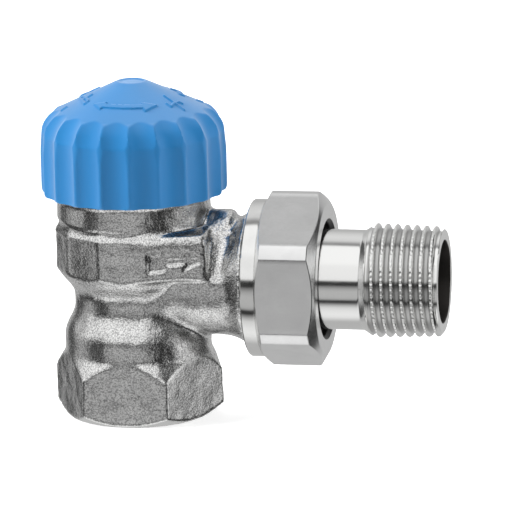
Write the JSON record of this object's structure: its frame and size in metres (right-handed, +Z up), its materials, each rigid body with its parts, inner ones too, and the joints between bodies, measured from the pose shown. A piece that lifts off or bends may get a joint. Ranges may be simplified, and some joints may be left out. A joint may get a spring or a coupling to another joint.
{
  "type": "angle radiator valve",
  "caption": "Nickel-plated angle radiator valve with a blue hand cap over the head thread, a threaded hexagon foot, and a union nut that draws in a threaded tail.",
  "frame": {"origin": "on the inlet axis where the inlet thread opens in the foot's flat underside", "axes": "+Z up the inlet axis to the cap, +X out along the union tail"},
  "size_m": [0.0751, 0.0342, 0.063],
  "materials": {
    "cast_nickel": "sand-cast, nickel-plated",
    "satin_nickel": "turned and milled, satin nickel plate",
    "bright_nickel": "turned, bright nickel plate",
    "cap_plastic": "moulded, satin",
    "brass": "turned",
    "steel": "turned",
    "rubber": "moulded"
  },
  "bodies": {
    "valve": {"valve_body": "cast_nickel", "insert_housing": "brass", "housing_o_ring": "rubber", "guide_bush": "brass", "stem_o_ring": "rubber", "return_spring": "steel", "gland_nut": "brass", "gland_o_ring_outer": "rubber", "gland_o_ring_inner": "rubber"},
    "spindle": {"spindle_rod": "steel", "spring_cup": "brass", "retaining_ring": "steel", "pressure_pin": "steel", "disc_holder": "brass", "disc_seal": "rubber", "disc_washer": "steel", "disc_nut": "brass"},
    "cap": {"protective_cap": "cap_plastic"},
    "tail": {"union_tail": "bright_nickel"},
    "nut": {"union_nut": "satin_nickel"}
  },
  "joints": [
    {"name": "spindle_slide", "type": "slide", "parent": "valve", "child": "spindle", "axis": [0, 0, 1], "range_m": [-0.0015, 0], "deforming": ["return_spring"]},
    {"name": "cap_turn", "type": "hinge", "parent": "spindle", "child": "cap", "pos_m": [0, 0, 0.05], "axis": [0, 0, 1], "range_deg": [-360, 0]},
    {"name": "tail_slide", "type": "slide", "parent": "valve", "child": "tail", "axis": [1, 0, 0], "range_m": [0, 0.00817]},
    {"name": "nut_turn", "type": "hinge", "parent": "tail", "child": "nut", "pos_m": [0.03, 0, 0.026], "axis": [1, 0, 0], "range_deg": [0, 1620]}
  ],
  "couplings": [
    {"joint": "spindle_slide", "follows": "cap_turn", "m_per_rad": 0.00023873},
    {"joint": "tail_slide", "follows": "nut_turn", "m_per_rad": 0.00028871}
  ]
}
